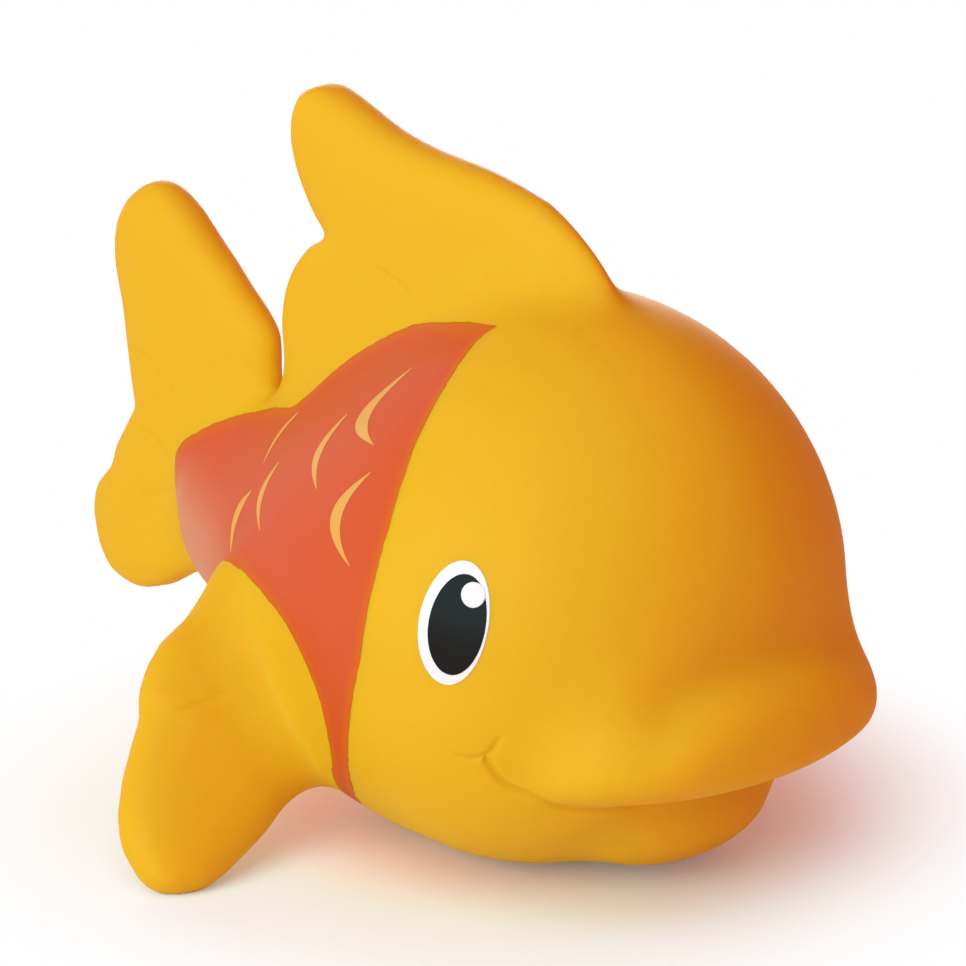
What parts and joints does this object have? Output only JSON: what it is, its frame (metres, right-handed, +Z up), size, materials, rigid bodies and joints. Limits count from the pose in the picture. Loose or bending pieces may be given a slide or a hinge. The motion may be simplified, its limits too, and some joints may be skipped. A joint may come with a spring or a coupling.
{
  "type": "squeaky bath toy fish",
  "caption": "Hollow soft vinyl goldfish for the bath, with upright and side fins, painted eyes, coat and scale marks, and a reed squeaker pressed into its belly.",
  "frame": {"origin": "under the middle of the toy's bounding box, on the surface that it rests on", "axes": "+X from the tail to the lips, +Y to the fish's own left, +Z up"},
  "size_m": [0.1065, 0.0868, 0.0738],
  "materials": {
    "soft_vinyl": "soft matte plasticised vinyl, orange-yellow all through",
    "coral_paint": "matte sprayed paint",
    "pale_orange_paint": "matte pad-printed paint",
    "white_paint": "satin pad-printed paint",
    "black_paint": "satin pad-printed paint",
    "squeaker_plastic": "plain moulded polyethylene",
    "reed_metal": "thin rolled strip"
  },
  "bodies": {
    "toy": {"vinyl_body": "soft_vinyl", "coral_coat_right": "coral_paint", "coral_coat_left": "coral_paint", "scale_marks_right": "pale_orange_paint", "scale_marks_left": "pale_orange_paint", "eye_white_right": "white_paint", "eye_white_left": "white_paint", "eye_pupil_right": "black_paint", "eye_pupil_left": "black_paint", "eye_glint_right": "white_paint", "eye_glint_left": "white_paint", "squeaker_housing": "squeaker_plastic", "reed_seat": "squeaker_plastic", "reed_wedge": "squeaker_plastic"},
    "reed": {"reed_tongue": "reed_metal"}
  },
  "joints": [
    {"name": "reed_flex", "type": "hinge", "parent": "toy", "child": "reed", "pos_m": [0.01078, 0, 0.01318], "axis": [0, 1, 0], "range_deg": [-4, 4], "stiffness_Nm_per_rad": 0.00002}
  ]
}
